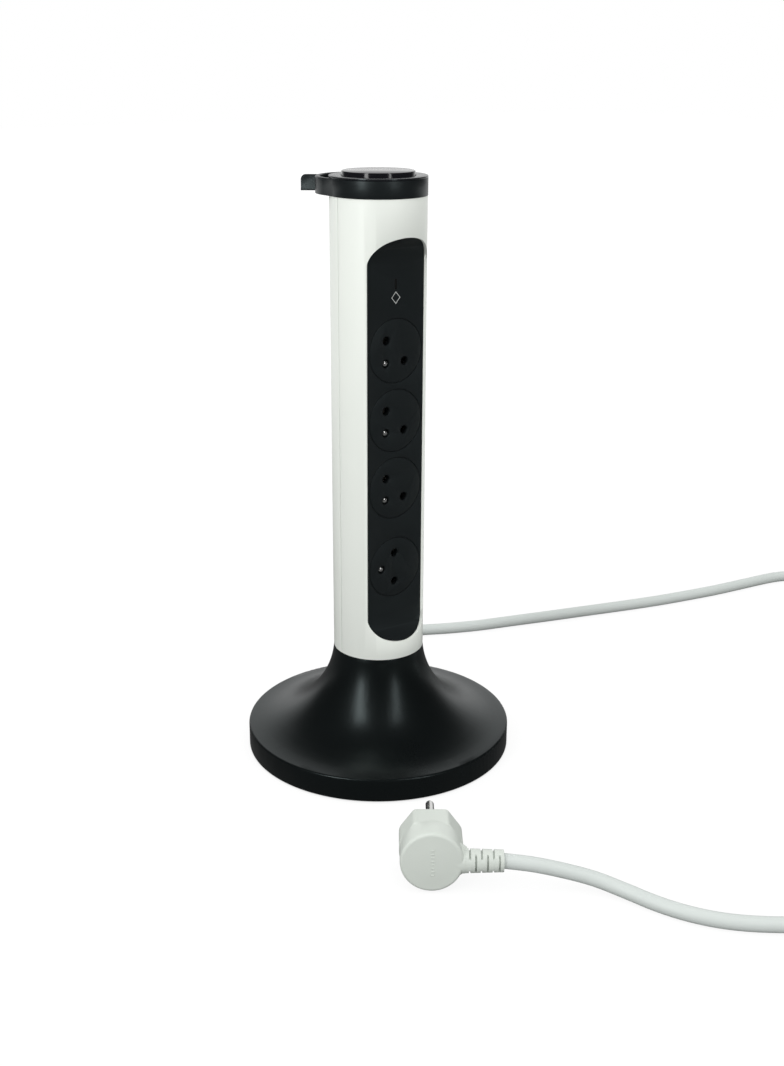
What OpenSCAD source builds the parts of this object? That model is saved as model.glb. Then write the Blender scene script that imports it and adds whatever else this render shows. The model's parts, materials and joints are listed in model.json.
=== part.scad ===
// Upright power strip: a round column with four round socket discs, on a wide flared base.
// Millimetres, +Z up, sockets facing -Y, origin on the column's axis where the feet meet the floor.

/* [Base] */
// Diameter of the base's rim
base_d = 172; // [150:1:220]
// Height of the rim's top above the floor
rim_top = 15.6; // [13:0.1:22]
// Rounding of the rim's upper edge
rim_round = 1.3; // [0.5:0.1:3]
// Radius of the hollow flare that runs from the rim up to the column
flare_r = 58.5; // [55:0.5:75]
// Height of the base's neck, where the column stands
neck_top = 69.5; // [62:0.5:85]
// Wall of the base moulding
base_wall = 2.4; // [1.8:0.1:3]
// How far the feet lift the rim off the floor
foot_proud = 0.8; // [0.4:0.1:2]
// Diameter of a rubber foot
foot_d = 12; // [8:0.5:15]
// Thickness of the closing plate below the base
plate_t = 2; // [1.6:0.1:3]
// Gap between the steel weight and the feet
ballast_gap = 2; // [1:0.5:10]
// Thickness of the steel weight
ballast_t = 6; // [3:0.5:7]

/* [Column] */
// Outer diameter of the column
column_d = 58; // [57:0.5:62]
// Wall of the column's two half shells
column_wall = 1.8; // [1.5:0.1:2.2]
// Length of the column's half shells
column_len = 286; // [280:1:330]
// Gap at the seam between the half shells
seam_gap = 0.3; // [0.2:0.1:0.6]

/* [Window] */
// Depth of the flat panel behind the column's front
panel_depth = 11.5; // [10.5:0.1:12.5]
// Height of the window's lower end above the column's foot
window_low = 11; // [10:0.5:14]
// Depth of the window's upper end below the column's top
window_high = 21.9; // [20:0.1:26]
// Radius of the window's crown arcs
crown_r = 33; // [28:0.5:45]
// Radius of the window's corner arcs
corner_r = 16.5; // [12:0.5:19]
// Radius of the panel's hollow end ramps
ramp_r = 18; // [14:0.5:22]
// Thickness of the panel
panel_t = 2; // [1.6:0.1:2.4]

/* [Sockets] */
// Height of the lowest socket above the window's lower end, as a share of the window's length
first_share = 0.1857; // [0.17:0.0001:0.2]
// Distance from the lowest socket to the next one, as a share of the window's length
low_share = 0.20664; // [0.19:0.0001:0.22]
// Distance between the upper three sockets, as a share of the window's length
pitch_share = 0.1697; // [0.165:0.0001:0.175]
// Width of the panel between two socket discs
disc_land = 4.25; // [4:0.05:8]
// Thickness of a socket disc
disc_t = 5; // [4:0.1:6]
// How far a disc slides in when a plug is pushed home
disc_travel = 12.5; // [10:0.1:13]
// Turn of the upper three sockets
socket_turn = 45; // [0:1:90]
// Distance between the two pin holes
pin_pitch = 19; // [18:0.1:19.4]
// Distance of the earth pin from the middle of a socket
earth_offset = 10; // [9.4:0.1:10.4]
// Diameter of a pin
pin_d = 4.8; // [4:0.1:5]

/* [Top] */
// Height of the collar on top of the column
collar_h = 9.9; // [9:0.1:14]
// How far the collar stands proud of the column
collar_proud = 0.2; // [0:0.1:1]
// Half width of the collar's rear loop
loop_r = 28.6; // [26:0.1:29]
// Distance of the loop's centre behind the column's axis
loop_back = 15.3; // [8:0.1:25]
// Thickness of the loop's band
band_t = 2.8; // [2:0.1:4]
// Length of the tab on the loop
tab_len = 12; // [6:0.5:18]
// Thickness of the tab
tab_t = 2.6; // [2:0.1:4]
// Thickness of the cap ring
cap_t = 1.4; // [1.2:0.1:2]
// Diameter of the push button
button_d = 43.4; // [38:0.1:44]
// How far the button stands above the cap ring
button_proud = 2.6; // [2.2:0.1:5]
// How far the button is pressed
button_travel = 2; // [1:0.1:2.2]

/* [Indicator] */
// Height of the indicator's middle above the top socket, as a share of the window's length
light_share = 0.15725; // [0.15:0.0001:0.16]
// Length of the indicator's slit
light_len = 6; // [4:0.1:8]
// Width of the indicator's slit
light_w = 1.2; // [1:0.1:2]

/* [Cord] */
// Diameter of the cord
cord_d = 8.5; // [7:0.1:8.6]
// Mean diameter of the coil
coil_d = 100; // [90:1:110]
// Turns in the coil
coil_turns = 2; // [1:1:3]

/* [Plug] */
// Diameter of the plug's round back
plug_d = 35; // [34:0.5:40]
// Length of the plug's body
plug_len = 34; // [30:0.5:36]
// Length of the plug's pins
plug_pin_len = 19; // [18:0.5:19.5]
// Diameter of the plug's strain relief
relief_d = 13.4; // [12:0.1:14]
// Length of the plug's strain relief
relief_len = 21.5; // [20:0.5:30]

/* [Fits] */
// Gap round pieces that slide
slide_gap = 0.3; // [0.2:0.05:0.4]
// Gap between fixed pieces that fit into each other
fit_gap = 0.2; // [0.1:0.05:0.3]
// Diameter of the screws' shanks
screw_d = 2.5; // [2:0.1:2.8]
// Diameter of the screws' heads
screw_head_d = 5; // [4.4:0.1:5.2]
// Height of the screws' heads
screw_head_h = 2; // [1.5:0.1:2.4]

/* [Hidden] */
$fn = 96;
eps = 0.01;
far = 400;

// Column
column_r = column_d / 2;
inner_r = column_r - column_wall;
column_top = neck_top + column_len;
seat_r = inner_r - slide_gap;
panel_y = -(column_r - panel_depth);
panel_back = panel_y + panel_t;
panel_r = inner_r - fit_gap;
window_angle = acos(-panel_y / inner_r);
window_w = column_r * sin(window_angle);
window_bottom = neck_top + window_low;
window_top = neck_top + column_len - window_high;
window_len = window_top - window_bottom;
panel_below = 2.5;
panel_above = 10.9;
lip_t = 1.3;
lip_h = 2;
lip_up = 1.5;

// Base
base_r = base_d / 2;
rim_flat = base_r - rim_round;
chord = [rim_flat - column_r, rim_top - neck_top];
half_chord = norm(chord) / 2;
flare_rise = sqrt(flare_r * flare_r - half_chord * half_chord);
flare_x = (column_r + rim_flat) / 2 - chord[1] / norm(chord) * flare_rise;
flare_z = (neck_top + rim_top) / 2 + chord[0] / norm(chord) * flare_rise;
plate_inset = 0.4;
plate_z = foot_proud + plate_inset;
plate_top = plate_z + plate_t;
plate_r = base_r - base_wall - fit_gap;
foot_recess = 1;
foot_ring = base_r - 16;
ballast_r = foot_ring - foot_d / 2 - ballast_gap;
base_post_r = 3.6;
base_post_ring = base_r - 13;
base_screw_len = 9;
base_head_seat = plate_top - 0.9;
web_t = 3;
web_z = neck_top - 9.5;
spigot_h = 4.5;
spigot_t = 2.4;
ballast_top = plate_top + ballast_t;
ballast_hole_r = 26;
rib_t = 2;
rib_start = ballast_hole_r + 4;
rib_end = foot_ring - 6;

// Feet of the column, screwed to the base's web from below
foot_pad_z = neck_top + spigot_h + slide_gap;
foot_pad_t = 3;
rear_post = [17, 11];
front_post = [0, -10];
column_post_r = 3.8;

// Sockets, from the top down
low_socket = window_bottom + first_share * window_len;
low_pitch = low_share * window_len;
socket_pitch = pitch_share * window_len;
disc_d = socket_pitch - disc_land;
socket_z = [low_socket + low_pitch + 2 * socket_pitch, low_socket + low_pitch + socket_pitch,
    low_socket + low_pitch, low_socket];
socket_angle = [socket_turn, socket_turn, socket_turn, 0];
disc_r = disc_d / 2;
flange_r = disc_r + 0.95;
well_r = flange_r + slide_gap;
well_t = 1.2;
well_out = well_r + well_t;
spring_wire = 0.45;
spring_r = disc_r - 3.85;
spring_solid = 3;
well_end = panel_y + disc_t + disc_travel + spring_solid;
carrier_t = 2;
carrier_back = well_end + carrier_t;
chamber = 8.4;
bar_y = carrier_back + 12;
bar_t = 0.8;
bar_w = 5;
sleeve_t = 0.7;
earth_bar_x = -15.4;
earth_bar_w = 3.9;
earth_bar_t = 1;
earth_tab = [11, 7];
earth_tail = 6;
pin_r = pin_d / 2;
pin_fit = 0.1;
pin_head = 0.8;
earth_reach = 2;

// Screws and their posts
screw_r = screw_d / 2;
head_r = screw_head_d / 2;
hole_r = screw_r + fit_gap;
post_r = head_r + 1.4;
shell_post_y = carrier_back + 1;
shell_seat_y = inner_r - 7;
inlet_z = neck_top + 18.5;
screw_high = window_top + 6.4;
screw_low = inlet_z + 9;
shell_posts = [[0, screw_high], [0, socket_z[0] + well_out + 3.5], [0, (socket_z[2] + socket_z[3]) / 2],
    [13, screw_low], [-13, screw_low]];
panel_post_in = 8;
thread_in = 10;
carrier_x = 18.6;
carrier_edge = 3;
carrier_rows = [socket_z[0] + well_out + 2.5, (socket_z[1] + socket_z[2]) / 2, low_socket - well_out + 2.3];
carrier_post_r = screw_r + 1.6;
carrier_low = carrier_rows[2] - 4;
carrier_high = carrier_rows[0] + 5.7;
thread_fit = fit_gap / 2;

// Indicator and its board
light_z = socket_z[0] + light_share * window_len;
light_inset = 0.15;
light_gap = 0.1;
board_y = panel_back + 3;
board_t = 1.6;
board_w = 34;
board_low = light_z - 6;
board_high = light_z + 16;
board_post_x = board_w / 2 - 3;
board_posts = [for (z = [board_low + 4, board_high - 5]) for (s = [-1, 1]) [s * board_post_x, z]];
varistor_r = 5;
varistor_t = 4.5;
varistor_pitch = 7;
varistor_up = 8;
leg_r = 0.4;
leg_half = 2.5;
leg_len = 2;

// Top
collar_r = column_r + collar_proud;
collar_z = column_top;
collar_top = collar_z + collar_h;
collar_web_t = 2;
collar_cavity_r = collar_r - 4.6;
collar_chamfer = 0.5;
cap_top = collar_top + cap_t;
button_r = button_d / 2;
button_top = cap_top + button_proud;
button_roof = 1.8;
button_wall = 1.8;
button_flange_t = 1.4;
button_flange_r = button_r + 1.5;
cap_hole_r = button_r + slide_gap;
cap_spigot_r = button_flange_r + slide_gap;
stem_r = 3.2;
stem_end = collar_z - 6.3;
collar_post_ring = 21;
collar_post_r = 3.5;
collar_posts = [[30, 15], [150, 15], [270, 7.5]];
switch_w = 14;
switch_top = collar_z - collar_web_t - fit_gap;
switch_h = 8.7;
terminal_x = 5.3;
terminal = [0.8, 4, 3];
terminal_z = switch_top - switch_h - terminal[2];
clip_t = 1.2;
clip_w = 8;
clip_hook = 1;
cap_spigot_h = 4;
button_spring_r = 8;
tab_root_x = -14.8;
tab_turn = 143;
tab_ledge = 1.2;
tab_ledge_out = 0.8;
tab_round = 3;
tab_low = 0.3;

// Inlet of the cord: a boot that leans down at the column's rear
inlet_lean = 65;
inlet_dir = [0, cos(inlet_lean), -sin(inlet_lean)];
boot_out = 24;
boot_in = 18;
wire_room = 17.75;
inlet_in = (low_socket - wire_room - inlet_z) / sin(inlet_lean);
boot_root_r = 6;
boot_tip_r = 5.2;
boot_straight = 10;
boot_fit = 0.05;
washer_r = 9.5;
washer_t = 1.7;
washer_up = 3;
cord_r = cord_d / 2;

// Plan of the cord on the floor, in a frame turned with the plug
lay_turn = -36.6;
coil_at = [349, 50];
coil_pitch = cord_d + 0.1;
lead_points = [[-26.2, 41.3, 50.7], [-25.2, 56, 38], [-20, 72, 29], [-13, 88, 22.5], [-8.5, 105, 15.2],
    [-6.6, 118, 9.8], [-5.6, 130.5, 6.2], [-1, 143.8, 4.6], [7.4, 155.1, 4.3], [19, 163.1, 4.3],
    [32.4, 167.3, 4.3], [52, 170.5, 4.3], [77, 176.5, 4.3], [105, 186, 4.3], [135, 196, 4.3], [165, 206.5, 4.3],
    [197, 217.5, 4.3], [228, 229, 4.3], [256, 241, 4.3], [284, 254, 4.3], [313, 269.5, 4.3],
    [338, 282.5, 4.3], [355, 287, 4.3], [372, 284.3, 4.3], [386.5, 275, 4.3], [395.5, 261.5, 4.3],
    [399, 245, 4.3], [399.5, 228, 4.3], [399, 205, 4.3], [399, 170, 4.3], [399, 130, 4.3], [399, 90, 4.3],
    [399, 50, 4.3]];
tail_points = [[399, 50, 21.5], [399, 25, 20], [398, 0, 14], [394, -25, 7.5], [388, -50, 4.5],
    [378, -80, 4.3], [364.5, -110, 4.3], [346, -139, 4.3], [322, -165, 4.3], [294.5, -187, 4.3],
    [263, -203.5, 4.3], [230, -212.6, 4.3], [207, -213.6, 4.3], [186, -211, 4.3], [168, -204.9, 4.3],
    [152, -195.8, 4.3], [137, -185.3, 5], [121, -177.8, 7.6], [104, -175.4, 11.3]];

// Plug, in its own frame: back at y = 0, pins towards +Y, lying on its round part and its front edge
plug_at = [31.1, -180.6, 18.7];
plug_tip_down = 4.4;
plug_r = plug_d / 2;
plug_back_len = 15.5;
plug_round = 3;
plug_face_r = 14;
plug_face_t = 1;
plug_top = 15.9;
plug_side = 17.85;
plug_flat = 9.4;
plug_corner = plug_top - 11.3;
relief_y = 7.3;
relief_down = 2;
relief_x = plug_r + 0.7;
relief_r = relief_d / 2;
relief_taper = 0.6;
relief_ribs = 6;
relief_slot = 1.1;
relief_core = cord_r + 0.6;
relief_open = relief_core - 1.5;
socket_t = 0.8;
plug_end = [plug_at[0] + relief_x + relief_len,
    plug_at[1] + relief_y * cos(plug_tip_down) - relief_down * sin(plug_tip_down),
    plug_at[2] - relief_y * sin(plug_tip_down) - relief_down * cos(plug_tip_down)];

// ---- Shared shapes ----

// A cylinder along Y from y0 to y1
module rod_y(r, y0, y1) {
    translate([0, y1, 0]) rotate([90, 0, 0]) cylinder(r = r, h = y1 - y0);
}

// A 2D outline given in (y, z), extruded along X over the whole width
module along_x(w = 80) {
    rotate([90, 0, 90]) translate([0, 0, -w / 2]) linear_extrude(w) children();
}

// A screw along Z with its head below z = 0 and its shank above
module screw(len) {
    translate([0, 0, -screw_head_h]) cylinder(r = head_r, h = screw_head_h);
    cylinder(r = screw_r, h = len);
}

module half_space_front(y) {
    translate([-far, y - far, -far]) cube([2 * far, far, 3 * far]);
}

module half_space_rear(y) {
    translate([-far, y, -far]) cube([2 * far, far, 3 * far]);
}

// The window's outline: straight sides, corner arcs and a flatter crown arc at each end
function arc_points(c, r, from, to, steps) = [for (k = [0:steps])
    c + r * [cos(from + (to - from) * k / steps), sin(from + (to - from) * k / steps)]];

// The upper right quarter of the outline, from the straight side to the crown, its crown at height 0
function quarter_outline(w) = let (side = w - corner_r, lean = asin(side / (crown_r - corner_r)),
    rise = crown_r - (crown_r - corner_r) * cos(lean))
    concat(arc_points([side, -rise], corner_r, 0, 90 - lean, 10),
        arc_points([0, -crown_r], crown_r, 90 - lean + 4, 90, 4));

function flip_x(p) = [for (i = [len(p) - 1:-1:0]) [-p[i][0], p[i][1]]];
function flip_z(p, at) = [for (i = [len(p) - 1:-1:0]) [p[i][0], at - p[i][1]]];
function lift(p, z) = [for (q = p) [q[0], q[1] + z]];
function top_outline(w) = concat(quarter_outline(w), [for (i = [1:14]) flip_x(quarter_outline(w))[i]]);

module window_outline(w) {
    polygon(concat(lift(top_outline(w), window_top), flip_x(flip_z(top_outline(w), window_bottom))));
}

module window_slot(w) {
    rotate([90, 0, 0]) linear_extrude(far) window_outline(w);
}

// Places children at a socket, turned as the socket is
module at_socket(i) {
    translate([0, 0, socket_z[i]]) rotate([0, -socket_angle[i], 0]) children();
}

function socket_point(i, x, z) = [x * cos(socket_angle[i]) - z * sin(socket_angle[i]),
    socket_z[i] + x * sin(socket_angle[i]) + z * cos(socket_angle[i])];

// Points of a smooth curve through p, with `steps` points for each stretch
function pick(p, i) = i < 0 ? 2 * p[0] - p[1] : i < len(p) ? p[i] : 2 * p[len(p) - 1] - p[len(p) - 2];
function spline_at(a, b, c, d, t) = 0.5 * (2 * b + (c - a) * t + (2 * a - 5 * b + 4 * c - d) * t * t
    + (3 * b - a - 3 * c + d) * t * t * t);
function smooth(p, steps) = concat([for (i = [0:len(p) - 2]) for (k = [0:steps - 1])
    spline_at(pick(p, i - 1), p[i], p[i + 1], pick(p, i + 2), k / steps)], [p[len(p) - 1]]);

// A tube swept along the points p, its end rings square to the directions first and last.
// Its rings start on the side square to `up`, which is never the tube's own direction.
function unit(v) = v / norm(v);
function heading(p, i, first, last) = i == 0 ? first : i == len(p) - 1 ? last : unit(p[i + 1] - p[i - 1]);
function ring(c, t, side, r, n) = [for (k = [0:n - 1])
    c + r * cos(360 * k / n) * side + r * sin(360 * k / n) * cross(side, t)];

module tube(p, r, n, first, last, up = [0, 0, 1]) {
    rings = len(p);
    skin = [for (i = [0:rings - 1]) let (t = heading(p, i, first, last))
        each ring(p[i], t, unit(cross(t, up)), r, n)];
    sides = [for (i = [0:rings - 2]) for (k = [0:n - 1])
        [i * n + k, i * n + (k + 1) % n, (i + 1) * n + (k + 1) % n, (i + 1) * n + k]];
    start = [for (k = [n - 1:-1:0]) k];
    end = [for (k = [0:n - 1]) (rings - 1) * n + k];
    polyhedron(points = skin, faces = concat(sides, [start], [end]), convexity = 6);
}

// A coil spring along Z of the given mean radius, from z = 0 to h
module coil_spring(mean_r, wire_r, h, turns) {
    steps = 14 * turns;
    path = [for (i = [0:steps]) [mean_r * cos(360 * i / 14), mean_r * sin(360 * i / 14),
        wire_r + (h - 2 * wire_r) * i / steps]];
    tube(path, wire_r, 6, unit(path[1] - path[0]), unit(path[steps] - path[steps - 1]));
}

// ---- Base ----

// The flare's section above the rim, its hollow arc moved in by the wall
module flare_section(wall) {
    difference() {
        square([rim_flat, neck_top]);
        translate([flare_x, flare_z]) circle(r = flare_r + wall, $fn = 180);
    }
}

module base_section() {
    translate([0, foot_proud]) square([rim_flat, rim_top - foot_proud]);
    translate([0, foot_proud]) square([base_r, rim_top - rim_round - foot_proud]);
    translate([rim_flat, rim_top - rim_round]) circle(r = rim_round);
    intersection() {
        flare_section(0);
        translate([0, foot_proud]) square([rim_flat, neck_top]);
    }
}

module base_cavity() {
    translate([0, -1]) square([base_r - base_wall, rim_top - base_wall + 1]);
    intersection() {
        flare_section(base_wall);
        square([rim_flat, web_z]);
    }
}

module base_shell() color("#17181a") {
    difference() {
        union() {
            difference() {
                rotate_extrude($fn = 180) base_section();
                rotate_extrude($fn = 180) base_cavity();
            }
            intersection() {
                rotate_extrude($fn = 180) base_section();
                for (a = [0:90:270]) rotate(a) {
                    translate([base_post_ring, 0, plate_top]) cylinder(r = base_post_r, h = neck_top);
                    rotate(45) translate([rib_start, -rib_t / 2, ballast_top])
                        cube([rib_end - rib_start, rib_t, neck_top]);
                }
            }
            translate([0, 0, neck_top - eps]) cylinder(r = seat_r, h = spigot_h + eps);
        }
        // The neck is open above its web
        translate([0, 0, web_z + web_t]) cylinder(r = seat_r - spigot_t, h = far);
        for (p = [front_post, rear_post, [-rear_post[0], rear_post[1]]])
            translate([p[0], p[1], 0]) cylinder(r = hole_r, h = far);
        for (a = [0:90:270]) rotate(a)
            translate([base_post_ring, 0, 0])
                cylinder(r = screw_r + thread_fit, h = base_head_seat + base_screw_len + 1);
    }
}

module base_plate() color("#202124") difference() {
    translate([0, 0, plate_z]) cylinder(r = plate_r, h = plate_t, $fn = 180);
    for (a = [0:90:270]) rotate(a) {
        rotate(45) translate([foot_ring, 0, 0]) cylinder(r = foot_d / 2, h = plate_z + foot_recess);
        translate([base_post_ring, 0, 0]) cylinder(r = hole_r, h = far);
        translate([base_post_ring, 0, 0]) cylinder(r = head_r + fit_gap, h = base_head_seat);
    }
}

module ballast_disc() color("#8b8d8f") translate([0, 0, plate_top]) difference() {
    cylinder(r = ballast_r, h = ballast_t, $fn = 180);
    translate([0, 0, -1]) cylinder(r = ballast_hole_r, h = ballast_t + 2);
}

module rubber_feet() color("#2b2b2b") for (a = [45:90:315]) rotate(a)
    translate([foot_ring, 0, 0]) cylinder(r = foot_d / 2 - fit_gap, h = plate_z + foot_recess);

module base_screws() color("silver") for (a = [0:90:270]) rotate(a)
    translate([base_post_ring, 0, 0]) intersection() {
        translate([0, 0, base_head_seat]) screw(base_screw_len);
        translate([0, 0, foot_proud + fit_gap]) cylinder(r = head_r, h = far);
    }

module column_screws() color("silver")
    for (p = [front_post, rear_post, [-rear_post[0], rear_post[1]]])
        translate([p[0], p[1], web_z]) screw(foot_pad_z - web_z + 1);

// ---- Column ----

// A foot bracket inside the shell: a pad joined to the wall, on a post that stands on the base's web
module foot_post(p, toward) {
    difference() {
        union() {
            translate([p[0], p[1], web_z + web_t])
                cylinder(r = column_post_r, h = foot_pad_z + foot_pad_t - web_z - web_t);
            intersection() {
                translate([0, 0, foot_pad_z]) cylinder(r = inner_r + eps, h = foot_pad_t);
                translate([0, 0, foot_pad_z]) linear_extrude(foot_pad_t) polygon([
                    p + column_post_r * [-toward[1], toward[0]], p - column_post_r * [-toward[1], toward[0]],
                    p - column_post_r * [-toward[1], toward[0]] + 30 * toward,
                    p + column_post_r * [-toward[1], toward[0]] + 30 * toward]);
            }
        }
        translate([p[0], p[1], web_z]) cylinder(r = screw_r + thread_fit, h = foot_pad_z - web_z + 1.5);
    }
}

// A post under the collar's web, joined to the wall by a rib
module collar_post(angle, drop) {
    low = column_top - collar_web_t - drop;
    difference() {
        rotate(angle) {
            translate([collar_post_ring, 0, low]) cylinder(r = collar_post_r, h = drop);
            translate([collar_post_ring, -collar_post_r * 0.6, low])
                cube([inner_r - collar_post_ring + column_wall / 2, collar_post_r * 1.2, drop]);
        }
        rotate(angle) translate([collar_post_ring, 0, low - 1])
            cylinder(r = screw_r + thread_fit, h = drop + 2);
    }
}

module shell_tube() {
    translate([0, 0, neck_top]) difference() {
        cylinder(r = column_r, h = column_len, $fn = 180);
        translate([0, 0, -1]) cylinder(r = inner_r, h = column_len + 2, $fn = 180);
    }
}

module front_shell() color("#e9ece7") {
    intersection() {
        difference() {
            shell_tube();
            intersection() {
                window_slot(window_w);
                linear_extrude(far) polygon([[0, 0], far * [-sin(window_angle), -cos(window_angle)],
                    far * [sin(window_angle), -cos(window_angle)]]);
            }
        }
        half_space_front(-seam_gap / 2);
    }
    foot_post(front_post, [0, -1]);
    collar_post(collar_posts[2][0], collar_posts[2][1]);
}

module rear_shell() color("#e9ece7") difference() {
    union() {
        intersection() {
            shell_tube();
            half_space_rear(seam_gap / 2);
        }
        // Lip that laps behind the front shell's edges
        intersection() {
            translate([0, 0, neck_top + spigot_h + 1]) difference() {
                cylinder(r = inner_r - fit_gap / 2, h = column_len - spigot_h - 8, $fn = 180);
                translate([0, 0, -1]) cylinder(r = inner_r - lip_t, h = far, $fn = 180);
            }
            translate([-far, -lip_h, 0]) cube([2 * far, lip_h + seam_gap / 2 + lip_up, far]);
        }
        intersection() {
            translate([0, 0, neck_top + spigot_h + 1]) difference() {
                cylinder(r = inner_r + eps, h = column_len - spigot_h - 8, $fn = 180);
                translate([0, 0, -1]) cylinder(r = inner_r - lip_t, h = far, $fn = 180);
            }
            translate([-far, seam_gap / 2, 0]) cube([2 * far, lip_up, far]);
        }
        intersection() {
            for (p = shell_posts) translate([p[0], 0, p[1]]) rod_y(post_r, shell_post_y, far);
            translate([0, 0, neck_top]) cylinder(r = inner_r + eps, h = column_len);
        }
        for (s = [-1, 1]) foot_post([s * rear_post[0], rear_post[1]], [s * 0.84, 0.54]);
        for (i = [0, 1]) collar_post(collar_posts[i][0], collar_posts[i][1]);
    }
    for (p = shell_posts) translate([p[0], 0, p[1]]) {
        rod_y(hole_r, 0, far);
        rod_y(head_r + fit_gap, shell_seat_y, far);
    }
    inlet_frame() translate([0, 0, -boot_in]) cylinder(r = boot_root_r + fit_gap, h = boot_in + boot_out);
}

module shell_screws() color("silver")
    for (p = shell_posts) translate([p[0], shell_seat_y, p[1]]) rotate([90, 0, 0]) screw(shell_seat_y + 9);

// ---- Face panel ----

module face_panel() color("#1e2023") difference() {
    union() {
        intersection() {
            difference() {
                translate([0, 0, window_bottom - panel_below])
                    cylinder(r = panel_r, h = window_len + panel_below + panel_above, $fn = 180);
                panel_recess();
            }
            half_space_front(panel_back);
        }
        for (z = socket_z) translate([0, 0, z]) rod_y(well_out, panel_back - eps, well_end);
        for (p = shell_posts) translate([p[0], 0, p[1]])
            rod_y(post_r, p[1] > window_top ? panel_back - panel_post_in : panel_back - 0.5, shell_post_y);
        for (z = carrier_rows) for (s = [-1, 1]) translate([s * carrier_x, 0, z])
            rod_y(carrier_post_r, panel_back - eps, well_end);
        for (p = board_posts) translate([p[0], 0, p[1]]) rod_y(carrier_post_r, panel_back - eps, board_y);
    }
    for (z = socket_z) translate([0, 0, z]) {
        rod_y(disc_r + slide_gap, -far, 0);
        rod_y(well_r, panel_back, far);
    }
    for (p = shell_posts) translate([p[0], 0, p[1]])
        rod_y(screw_r + thread_fit, shell_post_y - thread_in - 6, shell_post_y + 1);
    for (z = carrier_rows) for (s = [-1, 1]) translate([s * carrier_x, 0, z])
        rod_y(screw_r + thread_fit, well_end - thread_in, well_end + 1);
    for (p = board_posts) translate([p[0], 0, p[1]])
        rod_y(screw_r + thread_fit, board_y - 4, board_y + 1);
    translate([-light_w / 2 - light_gap, -far, light_z - light_len / 2 - light_gap])
        cube([light_w + 2 * light_gap, far, light_len + 2 * light_gap]);
}

// The seen hollow in front of the panel: flat between two ramps that curve out to the column's face
ramp_low = window_bottom + ramp_r - panel_below;
ramp_high = window_top - ramp_r + panel_below;
ramp_out = column_r + 4;

module panel_recess() {
    intersection() {
        window_slot(window_w);
        along_x() polygon(concat([[-ramp_out, ramp_low - ramp_r], [-ramp_out, ramp_high + ramp_r]],
            arc_points([panel_y - ramp_r, ramp_high], ramp_r, 75, 0, 12),
            arc_points([panel_y - ramp_r, ramp_low], ramp_r, 0, -75, 12)));
    }
}

// ---- Sockets ----

module socket_disc(i) color("#202225") at_socket(i) difference() {
    union() {
        rod_y(disc_r, panel_y, panel_y + disc_t);
        rod_y(flange_r, panel_back + slide_gap, panel_y + disc_t);
    }
    for (s = [-1, 1]) translate([0, 0, s * pin_pitch / 2]) rod_y(pin_r + slide_gap, -far, 0);
    translate([-earth_offset, 0, 0]) rod_y(pin_r + slide_gap, -far, 0);
}

module disc_spring(i) color("#b9bcc0") translate([0, panel_y + disc_t, socket_z[i]]) rotate([-90, 0, 0])
    coil_spring(spring_r, spring_wire, well_end - panel_y - disc_t, 3);

module earth_pins() color("#c9c2a4") for (i = [0:3]) at_socket(i) translate([-earth_offset, 0, 0]) {
    rod_y(pin_r, panel_y + earth_reach + pin_r, carrier_back + earth_bar_t);
    translate([0, panel_y + earth_reach + pin_r, 0]) sphere(r = pin_r);
    rod_y(pin_r + pin_head, carrier_back + earth_bar_t, carrier_back + earth_bar_t + 1);
}

// Pin channels of one socket: [x, z] of the live one and of the neutral one
function live_point(i) = socket_point(i, 0, pin_pitch / 2);
function neutral_point(i) = socket_point(i, 0, -pin_pitch / 2);
function earth_point(i) = socket_point(i, -earth_offset, 0);

module contact_carrier() color("#d9d6cb") difference() {
    union() {
        translate([-carrier_x - carrier_edge, well_end, carrier_low])
            cube([2 * (carrier_x + carrier_edge), carrier_t, carrier_high - carrier_low]);
        for (i = [0:3]) for (p = [live_point(i), neutral_point(i)])
            translate([p[0] - chamber / 2, carrier_back - eps, p[1] - chamber / 2])
                cube([chamber, bar_y - carrier_back + eps, chamber]);
    }
    for (i = [0:3]) {
        for (p = [live_point(i), neutral_point(i)]) translate([p[0], 0, p[1]]) {
            rod_y(pin_r + fit_gap, 0, far);
            rod_y(pin_r + sleeve_t + 2 * fit_gap, carrier_back, far);
        }
        translate([earth_point(i)[0], 0, earth_point(i)[1]]) rod_y(pin_r + pin_fit, 0, far);
    }
    for (p = shell_posts) translate([p[0], 0, p[1]]) rod_y(post_r + slide_gap, 0, far);
    for (z = carrier_rows) for (s = [-1, 1]) translate([s * carrier_x, 0, z]) rod_y(hole_r, 0, far);
}

module carrier_screws() color("silver") for (z = carrier_rows) for (s = [-1, 1])
    translate([s * carrier_x, carrier_back, z]) rotate([90, 0, 0]) screw(carrier_t + 8);

// A contact sleeve that stands forward from its bar
module sleeve(p) translate([p[0], 0, p[1]]) difference() {
    rod_y(pin_r + pin_fit + sleeve_t, carrier_back + 3 * fit_gap, bar_y + eps);
    rod_y(pin_r + pin_fit, 0, bar_y + 2);
}

// A bar behind the chambers: a strip at the column of the turned sockets, with a foot to the lowest one
module contact_bar(points) {
    low = min([for (p = points) p[1]]) - bar_w / 2;
    high = max([for (p = points) p[1]]) + bar_w / 2;
    x = points[0][0];
    for (p = points) sleeve(p);
    translate([x - bar_w / 2, bar_y, low]) cube([bar_w, bar_t, high - low]);
    for (p = points) translate([min(x, p[0]) - bar_w / 2, bar_y, p[1] - bar_w / 2])
        cube([abs(x - p[0]) + bar_w, bar_t, bar_w]);
}

module live_bar() color("#c9a24a") contact_bar([for (i = [0:3]) live_point(i)]);

module neutral_bar() color("#c9a24a") contact_bar([for (i = [0:3]) neutral_point(i)]);

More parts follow.
